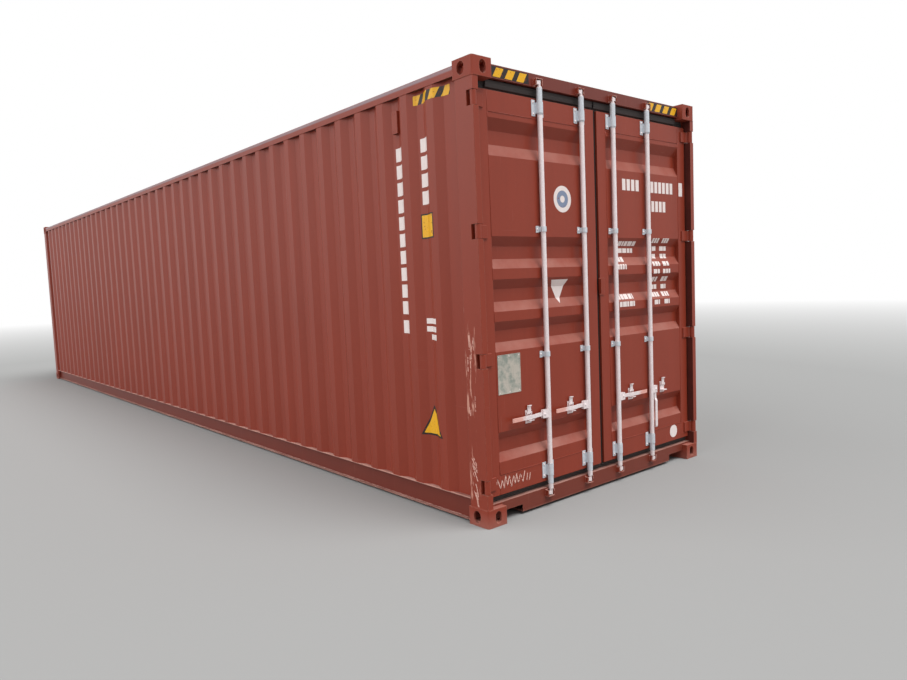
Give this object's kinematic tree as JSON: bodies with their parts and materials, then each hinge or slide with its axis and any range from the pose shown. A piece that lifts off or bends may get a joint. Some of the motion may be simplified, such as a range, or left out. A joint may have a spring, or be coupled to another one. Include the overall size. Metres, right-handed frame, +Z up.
{
  "type": "shipping container",
  "caption": "Forty foot high cube steel cargo container with corrugated walls, corner castings, and end doors that swing on post hinges behind turning lock rods.",
  "frame": {"origin": "on the ground, in the middle of the container's footprint", "axes": "+X towards the end with the doors, +Z up, -Y towards the left side as seen from in front of the doors"},
  "size_m": [12.192, 2.438, 2.896],
  "materials": {
    "painted_steel": "weathered satin",
    "galvanised_steel": "dull galvanised",
    "door_rubber": "matt",
    "floor_timber": "oiled plywood"
  },
  "bodies": {
    "container": {"corner_castings_bottom": "painted_steel", "corner_castings_top": "painted_steel", "rear_corner_posts": "painted_steel", "front_corner_posts": "painted_steel", "door_header": "painted_steel", "door_sill": "painted_steel", "front_header": "painted_steel", "front_sill": "painted_steel", "top_side_rails": "painted_steel", "bottom_side_rails": "painted_steel", "side_wall_left": "painted_steel", "side_wall_right": "painted_steel", "front_wall": "painted_steel", "roof": "painted_steel", "roof_corner_plates": "painted_steel", "floor": "floor_timber", "cross_members": "painted_steel", "gooseneck_tunnel": "painted_steel", "ventilators": "painted_steel", "rod_keepers": "painted_steel", "hinge_pins": "galvanised_steel"},
    "door_left": {"door_left_frame": "painted_steel", "door_left_panel": "painted_steel", "door_left_gasket": "door_rubber", "door_left_hinges": "painted_steel", "door_left_rod_guides": "galvanised_steel", "door_left_retainers": "galvanised_steel"},
    "door_right": {"door_right_frame": "painted_steel", "door_right_panel": "painted_steel", "door_right_gasket": "door_rubber", "door_right_hinges": "painted_steel", "door_right_rod_guides": "galvanised_steel", "door_right_retainers": "galvanised_steel"},
    "lock_rod_left_outer": {"lock_rod_left_outer": "galvanised_steel"},
    "handle_left_outer": {"handle_left_outer": "galvanised_steel"},
    "catch_left_outer": {"catch_left_outer": "galvanised_steel"},
    "lock_rod_left_inner": {"lock_rod_left_inner": "galvanised_steel"},
    "handle_left_inner": {"handle_left_inner": "galvanised_steel"},
    "catch_left_inner": {"catch_left_inner": "galvanised_steel"},
    "lock_rod_right_inner": {"lock_rod_right_inner": "galvanised_steel"},
    "handle_right_inner": {"handle_right_inner": "galvanised_steel"},
    "catch_right_inner": {"catch_right_inner": "galvanised_steel"},
    "lock_rod_right_outer": {"lock_rod_right_outer": "galvanised_steel"},
    "handle_right_outer": {"handle_right_outer": "galvanised_steel"},
    "catch_right_outer": {"catch_right_outer": "galvanised_steel"}
  },
  "joints": [
    {"name": "door_left_hinge", "type": "hinge", "parent": "container", "child": "door_left", "pos_m": [6.074, -1.195, 1.45], "axis": [0, 0, -1], "range_deg": [0, 260]},
    {"name": "door_right_hinge", "type": "hinge", "parent": "container", "child": "door_right", "pos_m": [6.074, 1.195, 1.45], "axis": [0, 0, 1], "range_deg": [0, 260]},
    {"name": "lock_rod_left_outer_turn", "type": "hinge", "parent": "door_left", "child": "lock_rod_left_outer", "pos_m": [6.068, -0.602, 1.45], "axis": [0, 0, -1], "range_deg": [-100, 0]},
    {"name": "handle_left_outer_lift", "type": "hinge", "parent": "lock_rod_left_outer", "child": "handle_left_outer", "pos_m": [6.068, -0.65, 0.646], "axis": [-1, 0, 0], "range_deg": [0, 30]},
    {"name": "catch_left_outer_fold", "type": "hinge", "parent": "door_left", "child": "catch_left_outer", "pos_m": [6.054, -0.78, 0.668], "axis": [0, -1, 0], "range_deg": [-90, 0]},
    {"name": "lock_rod_left_inner_turn", "type": "hinge", "parent": "door_left", "child": "lock_rod_left_inner", "pos_m": [6.068, -0.178, 1.45], "axis": [0, 0, -1], "range_deg": [-100, 0]},
    {"name": "handle_left_inner_lift", "type": "hinge", "parent": "lock_rod_left_inner", "child": "handle_left_inner", "pos_m": [6.068, -0.226, 0.646], "axis": [-1, 0, 0], "range_deg": [0, 30]},
    {"name": "catch_left_inner_fold", "type": "hinge", "parent": "door_left", "child": "catch_left_inner", "pos_m": [6.054, -0.356, 0.668], "axis": [0, -1, 0], "range_deg": [-90, 0]},
    {"name": "lock_rod_right_inner_turn", "type": "hinge", "parent": "door_right", "child": "lock_rod_right_inner", "pos_m": [6.068, 0.178, 1.45], "axis": [0, 0, 1], "range_deg": [-100, 0]},
    {"name": "handle_right_inner_lift", "type": "hinge", "parent": "lock_rod_right_inner", "child": "handle_right_inner", "pos_m": [6.068, 0.226, 0.646], "axis": [1, 0, 0], "range_deg": [0, 30]},
    {"name": "catch_right_inner_fold", "type": "hinge", "parent": "door_right", "child": "catch_right_inner", "pos_m": [6.054, 0.356, 0.668], "axis": [0, -1, 0], "range_deg": [-90, 0]},
    {"name": "lock_rod_right_outer_turn", "type": "hinge", "parent": "door_right", "child": "lock_rod_right_outer", "pos_m": [6.068, 0.602, 1.45], "axis": [0, 0, 1], "range_deg": [-100, 0]},
    {"name": "handle_right_outer_lift", "type": "hinge", "parent": "lock_rod_right_outer", "child": "handle_right_outer", "pos_m": [6.068, 0.65, 0.646], "axis": [1, 0, 0], "range_deg": [0, 60]},
    {"name": "catch_right_outer_fold", "type": "hinge", "parent": "door_right", "child": "catch_right_outer", "pos_m": [6.054, 0.78, 0.668], "axis": [0, -1, 0], "range_deg": [-90, 0]}
  ]
}
